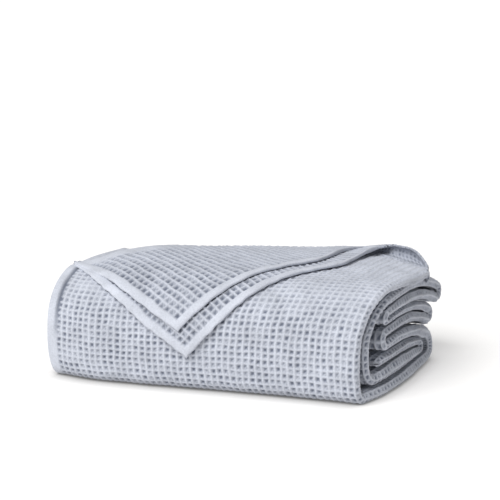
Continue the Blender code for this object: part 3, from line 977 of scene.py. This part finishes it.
def leaf_relief(a, b, along, past, seed):
    """Give a leaf's plain rise and woven relief in millimetres, and its hollow shade."""
    bump, hollow = waffle(a - LEAF_HEM, b - LEAF_HEM, seed, LEAF_NARROW)
    rise_a, weave_a = hem_band(a, b, LEAF_HEM)
    rise_b, weave_b = hem_band(b, a, LEAF_HEM)
    crest = ease(past, *CREST_SPANS[0]) * ease(past, *CREST_SPANS[1]) * ease(along, *CREST_FADE)
    weave = np.minimum(weave_a, weave_b) * (1.0 - crest) * ease(along, *WEAVE_END)
    collar = ease(along, *COLLAR_START)
    row_bump, row_hollow = waffle(along * COLLAR_CELL, past * COLLAR_CELL, seed + COLLAR_SEED)
    rise = np.where(a < b, rise_a, rise_b) * (1.0 - np.maximum(weave, collar))
    relief = LEAF_DEEPER * bump * weave + COLLAR_DEPTH * row_bump * collar
    # painted shade: more in the leaf's hollows, and over the whole collar
    shade = (hollow * weave) ** LEAF_SHADE + COLLAR_DEPTH * (row_hollow + COLLAR_SHADE) * collar
    return rise - leaf_edge(a, b, along), relief, shade


deepest = CELL_DEPTH * LEAF_DEEPER * (1.0 + DEPTH_VARIES)
print("leaf cells are up to", round(deepest, 1), "mm deep")

# %% [markdown]
# ## Closing a leaf
# A leaf is seen from both sides, so it is a closed sheet: an upper face, a lower face and a
# band round the edge. A Solidify modifier would give both faces the same relief. Here they
# differ, and edges that are used only once show where the band goes.

# %% Closed sheet
def trimmed_sheet(name, face, under, inside, hollow):
    """Join two faces of a sheet round the edge of the squares that are inside."""
    count = inside.size
    index = np.arange(count).reshape(inside.shape)
    top = grid_faces(index)[grid_faces(inside).any(axis=-1)]
    edges = np.concatenate([top[:, [k, (k + 1) % 4]] for k in range(4)])
    pairs = np.sort(edges, axis=1)
    _, first, times = np.unique(pairs, axis=0, return_index=True, return_counts=True)
    border = edges[first[times == 1]]
    band = np.stack([border[:, 1], border[:, 0], border[:, 0] + count, border[:, 1] + count], -1)
    faces = np.concatenate([top, top[:, ::-1] + count, band])
    used, packed = np.unique(faces, return_inverse=True)
    points = np.concatenate([face.reshape(-1, 3), under.reshape(-1, 3)])[used] * MM
    shade = np.concatenate([hollow.ravel(), hollow.ravel()])[used]
    return solid_mesh(name, points, packed.reshape(-1, 4), shade)


print("a leaf is", LEAF_CLOTH, "mm thick between its faces")

# %% [markdown]
# ## The two leaves
# The flat grid is draped, its two faces are pushed off along the normals with the relief,
# fully above and half below, and the sheet is closed. One recipe makes both leaves, which
# differ only in their row of the table and their seed.

# %% Turned leaves
LEAF_SEED = 7
UNDER_SHARE = 0.5
NEVER_ZERO = 1e-9


def leaf_sheet(leaf, seed):
    """Make one turned leaf as a closed woven sheet with plain hems."""
    a, b, along, past = leaf_ways(leaf, seed)
    points, inside = leaf_places(leaf, along, past)
    rise, relief, shade = leaf_relief(a, b, along, past, seed)
    normal = np.cross(np.gradient(points, axis=1), np.gradient(points, axis=0))
    normal /= np.linalg.norm(normal, axis=-1)[..., None] + NEVER_ZERO
    face = points + normal * (HALF_LEAF + rise + relief)[..., None]
    under = points - normal * (HALF_LEAF + rise - UNDER_SHARE * relief)[..., None]
    return trimmed_sheet(leaf["name"], face, under, inside, shade)


leaves = [leaf_sheet(leaf, LEAF_SEED + i) for i, leaf in enumerate(turned)]

# %% [markdown]
# ## Shader nodes
# Finishes here are made of nodes: small steps that pass a value or a colour on. They could
# be wired by hand in the Shader Editor. These helpers start a material, add and link its
# nodes, and dim a colour on its way to the surface, so that each finish is a short list.

# %% Node helpers
def set_inputs(node, values):
    """Set a node's inputs by name, and give the node back."""
    for socket, value in values.items():
        node.inputs[socket].default_value = value
    return node


def new_material(name, values):
    """Make a material with these values on its surface node; give both."""
    material = bpy.data.materials.new(name)
    material.use_nodes = True
    return material, set_inputs(material.node_tree.nodes["Principled BSDF"], values)


def add_node(material, kind, values):
    """Add a node of a kind to a material, with its input values."""
    return set_inputs(material.node_tree.nodes.new(kind), values)


def link(material, source, output, target, socket):
    """Link one node's output to another node's input."""
    material.node_tree.links.new(source.outputs[output], target.inputs[socket])


def dim(material, factor, socket):
    """Add a node that dims a colour by a factor node and feeds a socket of the surface."""
    node = add_node(material, "ShaderNodeVectorMath", {})
    node.operation = "SCALE"
    link(material, factor, "Result", node, "Scale")
    link(material, node, "Vector", material.node_tree.nodes["Principled BSDF"], socket)
    return node


print("materials before the cotton:", len(bpy.data.materials))

# %% [markdown]
# ## Colour of the cotton
# The cotton is a pale grey-blue. Shade is painted into the hollows, where light bounces
# between the walls: the stored depth of each point mixes the rib colour into a dark shade
# colour. A slow mottle and a fine yarn grain add to it. An image could carry all this, but
# nodes stay sharp at any size.

# %% Colour of the cotton
RIB_COLOUR = (0.570, 0.597, 0.666, 1.0)
# painted shade: the colour that the hollows darken towards
HOLLOW_SHADE_COLOUR = (0.158, 0.177, 0.228, 1.0)
MOTTLE = {"Scale": 38.0, "Detail": 4.0}
YARN = {"Scale": 640.0, "Detail": 3.0}
YARN_SHADES = {"From Min": 0.6, "From Max": 1.4, "To Min": 0.78, "To Max": 1.17}


def hollow_shade_mix(material, shade_colour):
    """Mix the rib colour into the painted shade colour by the stored depth."""
    depth = add_node(material, "ShaderNodeAttribute", {})
    depth.attribute_name = "hollow"
    mix = add_node(material, "ShaderNodeMix", {})
    mix.data_type = "RGBA"
    set_inputs(mix, {"A": RIB_COLOUR, "B": shade_colour})
    link(material, depth, "Fac", mix, "Factor")
    return mix


def cloth_noise(material, place, values):
    """Add a noise that is fixed to the cloth."""
    noise = add_node(material, "ShaderNodeTexNoise", values)
    link(material, place, "Object", noise, "Vector")
    return noise


def yarn_shade(material, mottle, yarn):
    """Add up the two noises and turn them into a factor for the colour."""
    total = add_node(material, "ShaderNodeMath", {})
    total.operation = "ADD"
    link(material, mottle, "Fac", total, 0)
    link(material, yarn, "Fac", total, 1)
    shade = add_node(material, "ShaderNodeMapRange", YARN_SHADES)
    link(material, total, "Value", shade, "Value")
    return shade


print("ribs", RIB_COLOUR[:3], "hollows", HOLLOW_SHADE_COLOUR[:3])

# %% [markdown]
# ## Cotton
# Cotton is dry and slightly fuzzy: rough, with little gloss, and with a sheen that gives
# the soft light edge of the fuzz. The yarn grain makes a fine bump. One recipe makes both
# finishes: the waffle, and the plain cloth inside, which has no hollows.

# %% Cotton
COTTON_SURFACE = {
    "Roughness": 0.92,
    "Specular IOR Level": 0.25,
    "Sheen Weight": 0.18,
    "Sheen Roughness": 0.5,
}
YARN_BUMP = {"Strength": 0.5, "Distance": 0.0008}


def cotton(name, shade_colour):
    """Make cotton that goes from rib colour to a painted shade colour with the cell depth."""
    material, surface = new_material(name, COTTON_SURFACE)
    place =add_node(material, "ShaderNodeTexCoord", {})
    mix = hollow_shade_mix(material, shade_colour)
    mottle = cloth_noise(material, place, MOTTLE)
    yarn = cloth_noise(material, place, YARN)
    tint = dim(material, yarn_shade(material, mottle, yarn), "Base Color")
    link(material, mix, "Result", tint, 0)
    bump = add_node(material, "ShaderNodeBump", YARN_BUMP)
    link(material, yarn, "Fac", bump, "Height")
    link(material, bump, "Normal", surface, "Normal")
    return material


waffle_cotton = cotton("waffle_cotton", HOLLOW_SHADE_COLOUR)
inner_cotton = cotton("inner_cotton", RIB_COLOUR)
print("materials", waffle_cotton.name, inner_cotton.name)

# %% [markdown]
# ## Floor
# The package lies on a plain pale floor that a glow of its own keeps nearly white. Close to
# the cloth less light gets in. A sharp shadow would be too hard there, so an ambient
# occlusion node paints a soft shadow into the floor's colour and glow, which grounds the
# package softly.

# %% Floor
FLOOR_REACH = 9.0
FLOOR_COLOUR = (0.70, 0.692, 0.684)
FLOOR_GLOW = (1.0, 0.99, 0.98)
FLOOR_SURFACE = {"Roughness": 0.9, "Emission Strength": 0.38}
CONTACT_REACH = 0.03
CONTACT_SHADES = {"From Min": 0.1, "From Max": 0.9, "To Min": 0.32}

floor_ways = (-FLOOR_REACH, FLOOR_REACH)
floor_points = np.array([[[x, y, 0.0] for x in floor_ways] for y in floor_ways])
floor = cloth_mesh("floor", floor_points, np.zeros((2, 2)))
paint = new_material("pale_floor", FLOOR_SURFACE)[0]
contact = add_node(paint, "ShaderNodeAmbientOcclusion", {"Distance": CONTACT_REACH})
painted_contact_shadow = add_node(paint, "ShaderNodeMapRange", CONTACT_SHADES)
link(paint, contact, "AO", painted_contact_shadow, "Value")
# painted contact shadow: the floor's colour and glow dim near the cloth
dim(paint, painted_contact_shadow, "Base Color").inputs[0].default_value = FLOOR_COLOUR
dim(paint, painted_contact_shadow, "Emission Color").inputs[0].default_value = FLOOR_GLOW
floor.data.materials.append(paint)

# %% [markdown]
# ## Flat sizes
# Each piece is given the size that it would have as a sheet of cloth laid flat.
# That size comes from the same values that shaped the piece: its length along the path or
# the run, and its width across the strip. A leaf is a triangle, half of its rectangle.

# %% Flat sizes
NOSE_LENGTH = 3.8 * NOSE_IN
LEAF_MARGIN = (90.0, 30.0)

skin_width = FACE_WIDTH + ARC_LENGTH + EDGE_IN
flats = {
    folded_layers: (path_run[-1], STRIP_LENGTH),
    wrap_bottom: (FRONT_FROM - wrap_run[0], skin_width),
    wrap_front: (TOP_FROM - FRONT_FROM, skin_width),
    wrap_top: (wrap_run[-1] - TOP_FROM, skin_width),
    fold_edges: (path_run[wrap_from], ARC_LENGTH + 2.0 * EDGE_IN),
    back_folds[0]: (NOSE_LENGTH, STRIP_LENGTH),
    back_folds[1]: (NOSE_LENGTH, STRIP_LENGTH),
}
leaf_flats = [(leaf["flat_end"] + LEAF_MARGIN[0], LEFT_ARM + LEAF_MARGIN[1]) for leaf in turned]
print("flat cloth in all", round(sum(a * b for a, b in flats.values()) * MM**2, 2), "square metres")

# %% [markdown]
# ## Handing each piece to the frame
# Nothing moves on a folded blanket, so every piece rides on the one body and stands for
# the imported solid.

def declare(piece, material):
    """Give a piece its material, hang it on the one body and hide the imported solid."""
    piece.data.materials.append(material)
    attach(piece, "root")
    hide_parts("blanket")


for piece, (long, wide) in flats.items():
    finish = inner_cotton if piece is folded_layers else waffle_cotton
    declare(piece, finish)
for piece, (long, wide) in zip(leaves, leaf_flats):
    declare(piece, waffle_cotton)
print(len(flats) + len(leaves), "pieces declared")

# %% [markdown]
# ## Light
# In a bright soft room, a broad light high on the left and a little in front shapes the
# cells and leaves the right end in soft shade. An area lamp would fade along the package,
# so a sun lamp with a very wide angle is used.

# %% Light
ROOM_LIGHT = 0.335
KEY_TOWARDS = (-0.24, -0.60, 0.76)
KEY_POWER = 2.84
KEY_WIDE = math.radians(44.0)

world = bpy.data.worlds.new("bright_room")
bpy.context.scene.world = world
world.use_nodes = True
room = {"Color": (1.0, 1.0, 1.0, 1.0), "Strength": ROOM_LIGHT}
set_inputs(world.node_tree.nodes["Background"], room)
bpy.context.scene.view_settings.view_transform = "Standard"
light = bpy.data.lights.new("key_lamp", "SUN")
light.energy = KEY_POWER
light.angle = KEY_WIDE
lamp = put_in_scene("key_lamp", light)
lamp.rotation_euler = Vector(KEY_TOWARDS).to_track_quat("Z", "Y").to_euler()
print("key lamp", KEY_POWER, "and room light", ROOM_LIGHT)

# %% [markdown]
# ## Camera
# The camera looks from the front right, a little from above, through a long lens. Its
# place and its three directions were worked out from the package's edges in the photo, so
# they are given as they are, in the same millimetres as the passes.

# %% Camera
FOCAL = 144.0
SENSOR = 36.0
FARTHEST = 60.0
CAMERA_AT = (750.0, -2060.3, 674.2)
CAMERA_RIGHT = (0.9397, 0.3420, 0.0)
CAMERA_UP = (-0.0769, 0.2114, 0.9744)
CAMERA_BACK = (0.3333, -0.9156, 0.2250)

lens = bpy.data.cameras.new("camera")
lens.lens = FOCAL
lens.sensor_width = SENSOR
lens.clip_end = FARTHEST
camera = put_in_scene("camera", lens)
camera_at = (np.array(CAMERA_AT) - np.array([*FOOTPRINT_MIDDLE, 0.0])) * MM
axes = zip(CAMERA_RIGHT, CAMERA_UP, CAMERA_BACK, camera_at)
camera.matrix_world = Matrix([list(row) for row in axes] + [[0.0, 0.0, 0.0, 1.0]])
bpy.context.scene.camera = camera
print("camera at", [round(float(v), 3) for v in camera_at])
